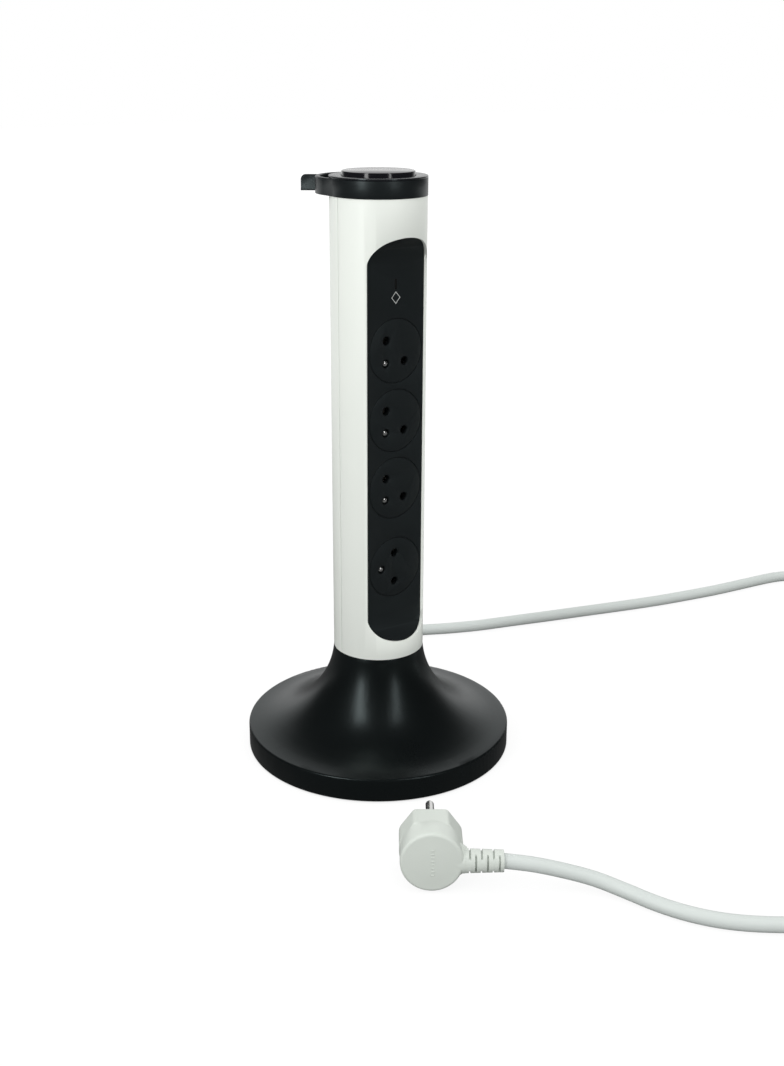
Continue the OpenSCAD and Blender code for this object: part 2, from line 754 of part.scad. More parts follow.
module earth_bar() color("#c9a24a") difference() {
    union() {
        translate([earth_bar_x, carrier_back, earth_point(3)[1] - earth_tab[1] / 2 - earth_tail])
            cube([earth_bar_w, earth_bar_t, earth_point(0)[1] - earth_point(3)[1] + earth_tab[1] + earth_tail]);
        for (i = [0:3]) translate([earth_bar_x, carrier_back, earth_point(i)[1] - earth_tab[1] / 2])
            cube([earth_tab[0], earth_bar_t, earth_tab[1]]);
    }
    for (i = [0:3]) translate([earth_point(i)[0], 0, earth_point(i)[1]]) rod_y(pin_r + pin_fit, 0, far);
}

// ---- Indicator, board and switch ----

module circuit_board() color("#2f5d3a") difference() {
    translate([-board_w / 2, board_y, board_low]) cube([board_w, board_t, board_high - board_low]);
    for (p = board_posts) translate([p[0], 0, p[1]]) rod_y(hole_r, -far, far);
}

module board_screws() color("silver") for (p = board_posts)
    translate([p[0], board_y + board_t, p[1]]) rotate([90, 0, 0]) screw(board_t + 3);

module surge_varistors() color("#2f57a8") for (k = [-1, 0, 1])
    translate([k * varistor_pitch, board_y + board_t, light_z + varistor_up]) {
        translate([-varistor_t / 2, varistor_r + 0.5, 0]) rotate([0, 90, 0])
            cylinder(r = varistor_r, h = varistor_t);
        for (s = [-1, 1]) translate([0, 0, s * leg_half]) rod_y(leg_r, 0, leg_len);
    }

module indicator_light() color("#e9e4d0") {
    translate([-light_w / 2, panel_y + light_inset, light_z - light_len / 2])
        cube([light_w, board_y - panel_y - light_inset, light_len]);
}

module power_switch() color("#26272b") {
    difference() {
        translate([-switch_w / 2, -switch_w / 2, switch_top - switch_h]) cube([switch_w, switch_w, switch_h]);
        translate([0, 0, stem_end - button_travel - 1]) cylinder(r = stem_r + slide_gap, h = far);
    }
    for (s = [-1, 1]) translate([s * terminal_x - terminal[0] / 2, -terminal[1] / 2, terminal_z])
        cube(terminal);
}

// ---- Top ----

// Section of the loop's band, chamfered at its outer and inner upper edges
module band_section() {
    polygon([[0, 0], [band_t, 0], [band_t, collar_h - collar_chamfer], [band_t - collar_chamfer, collar_h],
        [collar_chamfer, collar_h], [0, collar_h - collar_chamfer]]);
}

module collar_loop() translate([0, 0, collar_z]) {
    translate([0, loop_back, 0]) rotate_extrude(angle = 180) translate([loop_r - band_t, 0]) band_section();
    for (s = [0, 1]) mirror([s, 0, 0]) translate([loop_r - band_t, loop_back, 0]) rotate([90, 0, 0])
        linear_extrude(loop_back) band_section();
}

module tab() {
    root_y = loop_back + sqrt(loop_r * loop_r - tab_root_x * tab_root_x) - band_t / 2;
    tab_h = collar_h - 2 * tab_low;
    translate([tab_root_x, root_y, collar_z + tab_low]) rotate(tab_turn) {
        rotate([90, 0, 0]) translate([0, 0, -tab_t / 2]) linear_extrude(tab_t) {
            square([tab_len - tab_round, tab_h]);
            square([tab_len, tab_h - tab_round]);
            translate([tab_len - tab_round, tab_h - tab_round]) circle(r = tab_round);
        }
        translate([0, -tab_t / 2 - tab_ledge_out, 0]) cube([tab_len, tab_t + 2 * tab_ledge_out, tab_ledge]);
    }
}

module top_collar() color("#141517") difference() {
    union() {
        translate([0, 0, collar_z]) cylinder(r = collar_r, h = collar_h, $fn = 180);
        difference() {
            union() {
                collar_loop();
                tab();
            }
            translate([0, 0, collar_z - 1]) cylinder(r = collar_r - 1, h = collar_h + 2);
        }
        translate([0, 0, collar_z - collar_web_t]) cylinder(r = seat_r, h = collar_web_t + eps);
        for (s = [0, 1]) mirror([s, 0, 0]) translate([0, -clip_w / 2, switch_top - switch_h - clip_t]) {
            translate([switch_w / 2 + fit_gap, 0, 0])
                cube([clip_t, clip_w, switch_h + clip_t + fit_gap + eps]);
            translate([switch_w / 2 - clip_hook, 0, 0])
                cube([clip_t + fit_gap + clip_hook, clip_w, clip_t - fit_gap]);
        }
    }
    translate([0, 0, collar_z]) cylinder(r = collar_cavity_r, h = far);
    translate([0, 0, collar_z - 2 * collar_web_t]) cylinder(r = stem_r + slide_gap, h = far);
    for (p = collar_posts) rotate(p[0]) translate([collar_post_ring, 0, collar_z - 2 * collar_web_t])
        cylinder(r = hole_r, h = far);
}

module collar_screws() color("silver") for (p = collar_posts) rotate(p[0])
    translate([collar_post_ring, 0, collar_z]) mirror([0, 0, 1]) screw(p[1] + collar_web_t - 2);

module cap_ring() color("#0f1012") difference() {
    union() {
        translate([0, 0, collar_top]) cylinder(r = collar_r, h = cap_t, $fn = 180);
        translate([0, 0, collar_top - cap_spigot_h])
            cylinder(r = collar_cavity_r - fit_gap, h = cap_spigot_h + eps);
    }
    translate([0, 0, collar_top]) cylinder(r = cap_hole_r, h = far, $fn = 180);
    translate([0, 0, collar_top - cap_spigot_h - 1]) cylinder(r = cap_spigot_r, h = cap_spigot_h + 1);
}

module push_button() color("#0c0d0e") {
    low = collar_top - slide_gap - button_flange_t;
    difference() {
        union() {
            translate([0, 0, low]) cylinder(r = button_r, h = button_top - low, $fn = 180);
            translate([0, 0, low]) cylinder(r = button_flange_r, h = button_flange_t);
        }
        translate([0, 0, low - 1]) cylinder(r = button_r - button_wall, h = button_top - button_roof - low + 1);
    }
    translate([0, 0, stem_end]) cylinder(r = stem_r, h = button_top - button_roof - stem_end + eps);
}

module button_spring() color("#b9bcc0") translate([0, 0, collar_z])
    coil_spring(button_spring_r, spring_wire, button_top - button_roof - collar_z, 4);

// ---- Cord inlet and wires ----

// Frame of the inlet: z runs out along the boot, from where its axis meets the column's face
module inlet_frame() {
    translate([0, column_r, inlet_z]) rotate([-90 - inlet_lean, 0, 0]) children();
}

function inlet_point(s) = [0, column_r, inlet_z] + s * inlet_dir;

module cord_gland() color("#e4e7e2") difference() {
    union() {
        inlet_frame() {
            translate([0, 0, -boot_in]) cylinder(r = boot_root_r, h = boot_in + boot_straight);
            translate([0, 0, boot_straight - eps])
                cylinder(r1 = boot_root_r, r2 = boot_tip_r, h = boot_out - boot_straight + eps);
        }
        intersection() {
            translate([0, 0, inlet_z + washer_up]) rod_y(washer_r, 0, far);
            difference() {
                cylinder(r = panel_r, h = far);
                cylinder(r = panel_r - washer_t, h = far);
            }
        }
    }
    inlet_frame() translate([0, 0, -inlet_in]) cylinder(r = cord_r + boot_fit, h = far);
}

module cord_inlet() color("#e4e7e2")
    inlet_frame() translate([0, 0, -inlet_in]) cylinder(r = cord_r, h = inlet_in + boot_out);

// Four insulated wires inside the column: three from the cord's end, and one from the switch
wire_r = 1.1;
wire_gap = 0.1;
bar_back = bar_y + bar_t + wire_r + wire_gap;
wire_x = 18.5;
wire_y = 15;
cord_end = inlet_point(-inlet_in - wire_gap);

// A point on the end of the cord's jacket, a to its right and b towards the rear
function core(a, b) = cord_end + [a, -b * inlet_dir[2], b * inlet_dir[1]];

module wire(points, first, last) {
    tube(smooth(points, 3), wire_r, 8, first, last, [0, 1, 0]);
}

module live_wire() color("#6b4226") {
    low = low_socket - pin_pitch / 2;
    wire([core(1.9, 1.1), [wire_x - 14.5, bar_back + 1.4, low - 4.5], [wire_x / 2, bar_back + 1.4, low - 1.5],
        [wire_x - 4, wire_y + 3, low + 3], [wire_x, wire_y, low + 14], [wire_x, wire_y, socket_z[1]],
        [wire_x, wire_y, board_low], [wire_x - 0.5, wire_y - 4, terminal_z - 14],
        [terminal_x + 6, 5, terminal_z - 7], [terminal_x + 1.3, 1.5, terminal_z - 3],
        [terminal_x, 0.5, terminal_z - wire_gap]], -inlet_dir, [0, 0, 1]);
}

module switched_wire() color("#1c1c1c") {
    end = live_point(0);
    wire([[-terminal_x, 0.5, terminal_z - wire_gap], [-terminal_x - 2, 2, terminal_z - 4],
        [-12, 11, terminal_z - 14], [-13, bar_y, (board_low + terminal_z) / 2 - 14],
        [-12, bar_back + 1, end[1] + 18], [end[0] - 2, bar_back + 1, end[1] + 8],
        [end[0], bar_back, end[1]]], [0, 0, -1], [0, 0, -1]);
}

module neutral_wire() color("#2f5fb0") {
    end = neutral_point(3);
    wire([core(0, 2.2), [end[0], bar_back + 0.9, end[1] - 4], [end[0], bar_back, end[1] + 1.5]],
        -inlet_dir, [0, 0, 1]);
}

module earth_wire() color("#6fae3a") {
    end = [earth_bar_x + earth_bar_w / 2, carrier_back + earth_bar_t + wire_r + wire_gap,
        earth_point(3)[1] - earth_tab[1] / 2 - earth_tail / 2];
    wire([core(-1.9, 1.1), [-2.6, bar_back + 0.1, end[2] - 8], [-6.2, bar_back - 0.2, end[2] - 6.2],
        [-10.5, 15.5, end[2] - 5.4], end + [0.4, 4, -4.4], end + [0, 0.9, -2], end + [0, 0, 1.4]],
        -inlet_dir, [0, 0, 1]);
}

// ---- Cord ----

module lay() {
    rotate(lay_turn) children();
}

function to_lay(p) = [p[0] * cos(lay_turn) + p[1] * sin(lay_turn),
    p[1] * cos(lay_turn) - p[0] * sin(lay_turn), p[2]];

module cord_lead() color("#eef0ec") lay() {
    route = concat([to_lay(inlet_point(boot_out - 18)), to_lay(inlet_point(boot_out))], lead_points);
    path = [for (i = [2:2 * len(route) - 2]) smooth(route, 2)[i]];
    tube(path, cord_r, 10, to_lay(inlet_dir), [0, -1, 0]);
}

module cord_coil() color("#eef0ec") lay() translate([coil_at[0], coil_at[1], 0]) rotate_extrude() {
    high = lead_points[len(lead_points) - 1][2] + coil_turns * coil_pitch;
    translate([coil_d / 2 - cord_r, cord_r]) square([cord_d, high - cord_r]);
    for (z = [cord_r, high]) translate([coil_d / 2, z]) circle(r = cord_r, $fn = 48);
}

module cord_tail() color("#eef0ec") lay() {
    path = smooth(concat(tail_points, [plug_end + [16, -1.3, -1.3], plug_end]), 2);
    tube(path, cord_r, 10, [0, -1, 0], [-1, 0, 0]);
}

// ---- Plug ----

module plug_frame() {
    lay() translate(plug_at) rotate([-plug_tip_down, 0, 0]) children();
}

module plug_back() color("#eef0ec") plug_frame() {
    rotate([-90, 0, 0]) rotate_extrude() {
        square([plug_r - plug_round, plug_back_len]);
        translate([0, plug_round]) square([plug_r, plug_back_len - plug_round]);
        translate([plug_r - plug_round, plug_round]) circle(r = plug_round);
    }
    translate([0, relief_y, -relief_down]) rotate([0, 90, 0]) cylinder(r = relief_r, h = relief_x);
}

module plug_body() color("#eef0ec") plug_frame() hull() {
    translate([0, plug_back_len, 0]) rod_y(plug_r, 0, 0.1, $fn = 48);
    translate([0, plug_len, 0]) rotate([90, 0, 0]) linear_extrude(0.1) polygon([
        [-plug_flat, plug_top], [plug_flat, plug_top], [plug_side, plug_corner], [plug_side, -plug_corner],
        [plug_flat, -plug_top], [-plug_flat, -plug_top], [-plug_side, -plug_corner], [-plug_side, plug_corner]]);
}

module plug_face() color("#c9ccc8") plug_frame() difference() {
    rod_y(plug_face_r, plug_len, plug_len + plug_face_t);
    translate([-earth_offset, 0, 0]) rod_y(pin_r + socket_t + pin_fit, 0, far);
}

module plug_pins() color("#c8cacc") plug_frame() for (s = [-1, 1]) translate([0, 0, s * pin_pitch / 2]) {
    rod_y(pin_r, plug_len + plug_face_t, plug_len + plug_face_t + plug_pin_len - pin_r);
    translate([0, plug_len + plug_face_t + plug_pin_len - pin_r, 0]) sphere(r = pin_r);
}

module plug_earth_socket() color("#c9a24a") plug_frame() translate([-earth_offset, 0, 0]) difference() {
    rod_y(pin_r + socket_t, plug_len, plug_len + plug_face_t);
    rod_y(pin_r + pin_fit, 0, far);
}

module plug_relief() color("#eef0ec") plug_frame()
    translate([relief_x, relief_y, -relief_down]) rotate([0, 90, 0]) difference() {
        cylinder(r1 = relief_r, r2 = relief_r - relief_taper, h = relief_len);
        for (k = [1:relief_ribs]) translate([0, 0, k * relief_len / (relief_ribs + 0.6) - relief_slot])
            difference() {
                for (s = [0, 180]) rotate(s + 90 * ((k + 1) % 2))
                    translate([relief_open, -far / 2, 0]) cube([far, far, relief_slot]);
                cylinder(r = relief_core, h = far, center = true);
            }
    }

base_shell();
base_plate();
ballast_disc();
rubber_feet();
base_screws();
column_screws();
front_shell();
rear_shell();
shell_screws();
face_panel();
socket_disc(0);  // socket_disc_1
socket_disc(1);  // socket_disc_2
socket_disc(2);  // socket_disc_3
socket_disc(3);  // socket_disc_4
disc_spring(0);  // disc_spring_1
disc_spring(1);  // disc_spring_2
disc_spring(2);  // disc_spring_3
disc_spring(3);  // disc_spring_4
earth_pins();
contact_carrier();
carrier_screws();
live_bar();
neutral_bar();
earth_bar();
circuit_board();
board_screws();
surge_varistors();
indicator_light();
power_switch();
top_collar();
collar_screws();
cap_ring();
push_button();
button_spring();
cord_gland();
cord_inlet();
live_wire();
switched_wire();
neutral_wire();
earth_wire();
cord_lead();
cord_coil();
cord_tail();
plug_back();
plug_body();
plug_face();
plug_pins();
plug_earth_socket();
plug_relief();
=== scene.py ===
import json
import math

import bmesh
import bpy
from mathutils import Matrix, Vector

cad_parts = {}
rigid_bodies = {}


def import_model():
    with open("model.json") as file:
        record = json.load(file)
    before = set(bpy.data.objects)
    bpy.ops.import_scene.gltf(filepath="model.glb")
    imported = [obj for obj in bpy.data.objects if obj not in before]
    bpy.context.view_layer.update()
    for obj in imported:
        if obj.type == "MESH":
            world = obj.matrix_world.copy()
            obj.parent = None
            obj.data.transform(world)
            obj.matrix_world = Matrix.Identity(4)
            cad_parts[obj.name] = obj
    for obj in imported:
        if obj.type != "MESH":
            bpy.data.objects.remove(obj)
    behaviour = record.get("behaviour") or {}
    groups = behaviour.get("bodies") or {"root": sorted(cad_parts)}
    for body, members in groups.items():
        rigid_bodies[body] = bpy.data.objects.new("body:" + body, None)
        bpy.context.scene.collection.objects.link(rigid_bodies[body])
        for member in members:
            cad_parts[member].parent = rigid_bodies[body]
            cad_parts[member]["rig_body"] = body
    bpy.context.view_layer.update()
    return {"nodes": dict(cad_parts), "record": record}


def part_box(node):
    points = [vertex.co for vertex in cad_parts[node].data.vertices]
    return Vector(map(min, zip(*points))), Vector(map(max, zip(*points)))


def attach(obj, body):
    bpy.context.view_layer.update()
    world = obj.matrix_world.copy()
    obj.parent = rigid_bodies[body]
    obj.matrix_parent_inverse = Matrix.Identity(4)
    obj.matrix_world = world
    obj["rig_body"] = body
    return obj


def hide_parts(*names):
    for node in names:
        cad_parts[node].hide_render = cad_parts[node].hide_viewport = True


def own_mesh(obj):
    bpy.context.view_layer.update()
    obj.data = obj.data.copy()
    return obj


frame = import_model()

MM = 0.001
NODES = frame["nodes"]
SLOTS = {part["node"]: part["material_slot"] for part in frame["record"]["subparts"] if part.get("node")}
SOCKETS = (1, 2, 3, 4)


# ---- Camera ----

# The camera stands in front and a little above, with the sockets turned to its right
FACE_TURN = math.radians(36.576)
CAMERA_SIDE = 8.684 * MM
CAMERA_BACK = 815.422 * MM
CAMERA_HEIGHT = 436.454 * MM
CAMERA_DOWN = math.radians(19.662)
CAMERA_ROLL = math.radians(0.213)
SENSOR, LENS = 36.0, 45.8681
CLIP_NEAR, CLIP_FAR = 0.05, 30.0


def from_view(across, along, height=0.0):
    """A place given across and along the camera's level line of sight."""
    return Vector((across * math.cos(FACE_TURN) + along * math.sin(FACE_TURN),
                   -across * math.sin(FACE_TURN) + along * math.cos(FACE_TURN), height))


def set_camera():
    forward = (from_view(0, math.cos(CAMERA_DOWN)) - Vector((0, 0, math.sin(CAMERA_DOWN)))).normalized()
    right = from_view(1, 0)
    up = right.cross(forward)
    rolled_right = right * math.cos(CAMERA_ROLL) + up * math.sin(CAMERA_ROLL)
    rolled_up = up * math.cos(CAMERA_ROLL) - right * math.sin(CAMERA_ROLL)
    data = bpy.data.cameras.new("camera")
    data.sensor_width, data.lens = SENSOR, LENS
    data.clip_start, data.clip_end = CLIP_NEAR, CLIP_FAR
    camera = bpy.data.objects.new("camera", data)
    bpy.context.scene.collection.objects.link(camera)
    turn = Matrix((rolled_right, rolled_up, -forward)).transposed().to_4x4()
    camera.matrix_world = Matrix.Translation(from_view(CAMERA_SIDE, -CAMERA_BACK, CAMERA_HEIGHT)) @ turn
    bpy.context.scene.camera = camera


set_camera()


# ---- The cord's route ----

# The route is laid out in plan, in millimetres, and then turned to lie along the view
LAY_TURN = math.radians(-36.6)
CORD_R = 4.25
CORD_ROUNDNESS = 6
COLUMN_R = 29.0
INLET_Z = 88.0
INLET_LEAN = math.radians(65)
BOOT_OUT = 24.0
IN_BOOT = 18.0
COIL_AT = (349.0, 50.0)
COIL_R = 50.0
COIL_TURNS = 2
COIL_PITCH = 8.6
COIL_STEPS = 48
ROUTE_STEPS = 4
LEAD_POINTS = [
    (-26.2, 41.3, 50.7), (-25.2, 56, 38), (-20, 72, 29), (-13, 88, 22.5), (-8.5, 105, 15.2),
    (-6.6, 118, 9.8), (-5.6, 130.5, 6.2), (-1, 143.8, 4.6), (7.4, 155.1, 4.3), (19, 163.1, 4.3),
    (32.4, 167.3, 4.3), (52, 170.5, 4.3), (77, 176.5, 4.3), (105, 186, 4.3), (135, 196, 4.3),
    (165, 206.5, 4.3), (197, 217.5, 4.3), (228, 229, 4.3), (256, 241, 4.3), (284, 254, 4.3),
    (313, 269.5, 4.3), (338, 282.5, 4.3), (355, 287, 4.3), (372, 284.3, 4.3), (386.5, 275, 4.3),
    (395.5, 261.5, 4.3), (399, 245, 4.3), (399.5, 228, 4.3), (399, 205, 4.3), (399, 170, 4.3),
    (399, 130, 4.3), (399, 90, 4.3), (399, 50, 4.3)]
TAIL_POINTS = [
    (399, 50, 21.5), (399, 25, 20), (398, 0, 14), (394, -25, 7.5), (388, -50, 4.5), (378, -80, 4.3),
    (364.5, -110, 4.3), (346, -139, 4.3), (322, -165, 4.3), (294.5, -187, 4.3), (263, -203.5, 4.3),
    (230, -212.6, 4.3), (207, -213.6, 4.3), (186, -211, 4.3), (168, -204.9, 4.3), (152, -195.8, 4.3),
    (137, -185.3, 5), (121, -177.8, 7.6), (104, -175.4, 11.3)]
TAIL_RUN_IN = Vector((16, -1.3, -1.3))

# The plug's own frame has its origin in the middle of its round back, and its pins towards +Y
PLUG_AT = Vector((31.1, -180.6, 18.7))
PLUG_DOWN = math.radians(4.4)
PLUG_R = 17.5
RELIEF_Y = 7.3
RELIEF_DOWN = 2.0
RELIEF_X = PLUG_R + 0.7
RELIEF_LEN = 21.5


def to_object(p):
    """A place in the cord's plan as a place in the model, in metres."""
    x, y, z = p
    return Vector((x * math.cos(LAY_TURN) - y * math.sin(LAY_TURN),
                   x * math.sin(LAY_TURN) + y * math.cos(LAY_TURN), z)) * MM


def to_plan(p):
    """A place in the model, in millimetres, as a place in the cord's plan."""
    x, y, z = p
    return Vector((x * math.cos(LAY_TURN) + y * math.sin(LAY_TURN),
                   y * math.cos(LAY_TURN) - x * math.sin(LAY_TURN), z))


def inlet_point(distance):
    """A point on the axis of the cord's boot, in the cord's plan."""
    return to_plan((0, COLUMN_R + distance * math.cos(INLET_LEAN),
                    INLET_Z - distance * math.sin(INLET_LEAN)))


def plug_point(x, y, z):
    """A place in the plug's own frame as a place in the cord's plan."""
    return Vector((PLUG_AT[0] + x,
                   PLUG_AT[1] + y * math.cos(PLUG_DOWN) + z * math.sin(PLUG_DOWN),
                   PLUG_AT[2] - y * math.sin(PLUG_DOWN) + z * math.cos(PLUG_DOWN)))


def through(points):
    """A smooth line through the points, with ROUTE_STEPS pieces for each stretch."""
    points = [Vector(p) for p in points]
    ends = [2 * points[0] - points[1], *points, 2 * points[-1] - points[-2]]
    line = []
    for a, b, c, d in zip(ends, ends[1:], ends[2:], ends[3:]):
        for k in range(ROUTE_STEPS):
            t = k / ROUTE_STEPS
            line.append(0.5 * (2 * b + (c - a) * t + (2 * a - 5 * b + 4 * c - d) * t * t
                               + (3 * b - a - 3 * c + d) * t ** 3))
    return line + [points[-1]]


def coil_turns():
    """The turns in which the spare cord is put away, one above the other."""
    low = LEAD_POINTS[-1][2]
    turns = []
    for k in range(1, COIL_TURNS * COIL_STEPS):
        angle = -2 * math.pi * k / COIL_STEPS
        turns.append(Vector((COIL_AT[0] + COIL_R * math.cos(angle), COIL_AT[1] + COIL_R * math.sin(angle),
                             low + COIL_PITCH * k / COIL_STEPS)))
    return turns


def cord_route():
    """The whole route, from the end of the column's boot to the plug's strain relief."""
    boot = [inlet_point(BOOT_OUT - IN_BOOT), inlet_point(BOOT_OUT)]
    lead = through(boot + LEAD_POINTS)[ROUTE_STEPS:]
    plug_end = plug_point(RELIEF_X + RELIEF_LEN, RELIEF_Y, -RELIEF_DOWN)
    tail = through(TAIL_POINTS + [plug_end + TAIL_RUN_IN, plug_end])
    return [to_object(p) for p in lead + coil_turns() + tail]


def cord_curve(name, route, radius):
    data = bpy.data.curves.new(name, "CURVE")
    data.dimensions = "3D"
    data.bevel_depth = radius
    data.bevel_resolution = CORD_ROUNDNESS
    data.use_fill_caps = True
    spline = data.splines.new("POLY")
    spline.points.add(len(route) - 1)
    for point, place in zip(spline.points, route):
        point.co = (*place, 1)
    spline.use_smooth = True
    curve = bpy.data.objects.new(name, data)
    bpy.context.scene.collection.objects.link(curve)
    return curve


mains_cord = cord_curve("mains_cord", cord_route(), CORD_R * MM)


# ---- Finishes ----

PATCH_SIZE, PATCH_DETAIL = 30.0, 3
GRAIN_DETAIL = 4
GRAIN_DEPTH = 0.2 * MM
GLOSS_RANGE = 0.1
IOR = 1.5
# Where a look names no cast, its patches are a fifth darker than its base colour
CAST_SHARE = 0.8

# Each pair is a base colour and the colour of its patches
BASE_BLACK = (0.0014, 0.0022, 0.0024), (0.0024, 0.0032, 0.0034)
FACE_BLACK = (0.006, 0.0078, 0.0088), (0.0078, 0.0096, 0.0106)
COLLAR_BLACK = (0.006, 0.0075, 0.0085), (0.008, 0.0095, 0.0105)
PEARL = (0.74, 0.775, 0.725), (0.79, 0.815, 0.77)
EARTH_GREEN = (0.14, 0.4, 0.05), (0.6, 0.55, 0.03)
CORD_WHITE = (0.55, 0.59, 0.57), (0.57, 0.61, 0.585)
PLUG_WHITE = (0.56, 0.6, 0.555), (0.585, 0.625, 0.58)
# Black mouldings mirror the lamps a little cooler than they are
COOL = (0.84, 0.99, 1.0)


def math_node(add, link, operation, first, second):
    node = add("ShaderNodeMath")
    node.operation = operation
    for socket, value in zip(node.inputs, (first, second)):
        if isinstance(value, (int, float)):
            socket.default_value = value
        else:
            link(value, socket)
    return node.outputs[0]


def noise(add, link, place, scale, detail):
    node = add("ShaderNodeTexNoise")
    node.inputs["Detail"].default_value = detail
    link(place, node.inputs["Vector"])
    link(scale, node.inputs["Scale"])
    return node.outputs["Fac"]


def skin_group():
    """Shared look of a moulded surface: fine grain, and slow patches in its colour and gloss."""
    group = bpy.data.node_groups.new("moulded_skin", "ShaderNodeTree")
    sockets = group.interface
    for name in ("Base", "Cast"):
        sockets.new_socket(name, in_out="INPUT", socket_type="NodeSocketColor")
    for name in ("Unevenness", "Gloss", "Gloss Range", "Grain Size", "Patch Size"):
        sockets.new_socket(name, in_out="INPUT", socket_type="NodeSocketFloat")
    sockets.new_socket("Colour", in_out="OUTPUT", socket_type="NodeSocketColor")
    for name in ("Roughness", "Height"):
        sockets.new_socket(name, in_out="OUTPUT", socket_type="NodeSocketFloat")
    add, link = group.nodes.new, group.links.new
    given, result = add("NodeGroupInput").outputs, add("NodeGroupOutput").inputs
    place = add("ShaderNodeTexCoord").outputs["Object"]
    patches = noise(add, link, place, given["Patch Size"], PATCH_DETAIL)
    grain = noise(add, link, place, given["Grain Size"], GRAIN_DETAIL)
    colour = add("ShaderNodeMix")
    colour.data_type = "RGBA"
    link(math_node(add, link, "MULTIPLY", patches, given["Unevenness"]), colour.inputs[0])
    link(given["Base"], colour.inputs[6])
    link(given["Cast"], colour.inputs[7])
    link(colour.outputs[2], result["Colour"])
    # Both noises lie around a half, so their sum less one swings around nothing
    swing = math_node(add, link, "SUBTRACT", math_node(add, link, "ADD", grain, patches), 1.0)
    swing = math_node(add, link, "MULTIPLY", swing, given["Gloss Range"])
    link(math_node(add, link, "ADD", swing, given["Gloss"]), result["Roughness"])
    link(grain, result["Height"])
    return group


SKIN = skin_group()


def finish(name, base, cast=None, gloss=0.4, unevenness=0.35, grain=2500.0, relief=0.02, metal=0.0,
           tint=(1, 1, 1)):
    """A finish built on the moulded skin, with its own colours, gloss and grain."""
    material = bpy.data.materials.new(name)
    material.use_nodes = True
    tree = material.node_tree
    shader = tree.nodes["Principled BSDF"]
    skin = tree.nodes.new("ShaderNodeGroup")
    skin.node_tree = SKIN
    values = {"Base": (*base, 1), "Cast": (*(cast or [c * CAST_SHARE for c in base]), 1),
              "Unevenness": unevenness, "Gloss": gloss, "Gloss Range": GLOSS_RANGE,
              "Grain Size": grain, "Patch Size": PATCH_SIZE}
    for socket, value in values.items():
        skin.inputs[socket].default_value = value
    bump = tree.nodes.new("ShaderNodeBump")
    bump.inputs["Strength"].default_value = relief
    bump.inputs["Distance"].default_value = GRAIN_DEPTH
    link = tree.links.new
    link(skin.outputs["Colour"], shader.inputs["Base Color"])
    link(skin.outputs["Roughness"], shader.inputs["Roughness"])
    link(skin.outputs["Height"], bump.inputs["Height"])
    link(bump.outputs["Normal"], shader.inputs["Normal"])
    shader.inputs["Metallic"].default_value = metal
    shader.inputs["IOR"].default_value = IOR
    shader.inputs["Specular Tint"].default_value = (*tint, 1)
    return material


def look(base, cast=None, **values):
    """What a finish is made from: its base colour, the colour of its patches, and its other values."""
    return {"base": base, "cast": cast, **values}


LOOKS = {
    # Base
    "base_black": look(*BASE_BLACK, gloss=0.3, relief=0.03, tint=COOL),
    "plate_black": look((0.02, 0.02, 0.022), gloss=0.6, relief=0.15, grain=1800),
    "ballast_steel": look((0.32, 0.32, 0.33), metal=1.0, gloss=0.45, grain=900),
    "foot_rubber": look((0.022, 0.022, 0.023), gloss=0.8, relief=0.3, grain=1500),
    "screw_zinc": look((0.55, 0.56, 0.57), metal=1.0, gloss=0.3, grain=3000),
    # Column and its face
    "shell_pearl": look(*PEARL, gloss=0.4, unevenness=0.5),
    "panel_black": look(*FACE_BLACK, gloss=0.45, relief=0.08, tint=COOL),
    "disc_black": look(*FACE_BLACK, gloss=0.47, relief=0.08, tint=COOL),
    "indicator_clear": look((0.004, 0.004, 0.004), gloss=0.2),
    "pin_nickel": look((0.72, 0.72, 0.71), metal=1.0, gloss=0.2, grain=1200),
    # Inside
    "spring_steel": look((0.5, 0.5, 0.51), metal=1.0, gloss=0.3),
    "carrier_cream": look((0.62, 0.6, 0.52), gloss=0.5),
    "contact_brass": look((0.6, 0.43, 0.17), metal=1.0, gloss=0.3),
    "board_green": look((0.03, 0.11, 0.05), gloss=0.35),
    "varistor_blue": look((0.03, 0.09, 0.34), gloss=0.4),
    "switch_black": look((0.02, 0.02, 0.022), gloss=0.5),
    "wire_brown": look((0.13, 0.05, 0.02), gloss=0.45),
    "wire_black": look((0.015, 0.015, 0.015), gloss=0.45),
    "wire_blue": look((0.03, 0.12, 0.42), gloss=0.45),
    "wire_green": look(*EARTH_GREEN, gloss=0.45),
    # Top
    "collar_black": look(*COLLAR_BLACK, gloss=0.36, relief=0.03, tint=COOL),
    "cap_gloss": look((0.008, 0.008, 0.010), gloss=0.25, relief=0.01, tint=COOL),
    "button_gloss": look((0.006, 0.006, 0.008), gloss=0.12, relief=0.005),
    # Cord and plug
    "cord_white": look(*CORD_WHITE, gloss=0.42, relief=0.03),
    "plug_white": look(*PLUG_WHITE, gloss=0.4, relief=0.03),
    "plug_grey": look((0.55, 0.57, 0.55), gloss=0.45),
}
FINISHES = {name: finish(name, **look) for name, look in LOOKS.items()}

for node_name, node_object in NODES.items():
    for holder in node_object.material_slots:
        holder.material = FINISHES[SLOTS[node_name]]

mains_cord.data.materials.append(FINISHES["cord_white"])
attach(mains_cord, "tower")
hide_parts("cord_lead", "cord_coil", "cord_tail")


# ---- Work on meshes ----

MERGE = 0.002 * MM
SMOOTH_ANGLE = 30.0


def pick_only(piece):
    bpy.ops.object.select_all(action="DESELECT")
    piece.select_set(True)
    bpy.context.view_layer.objects.active = piece


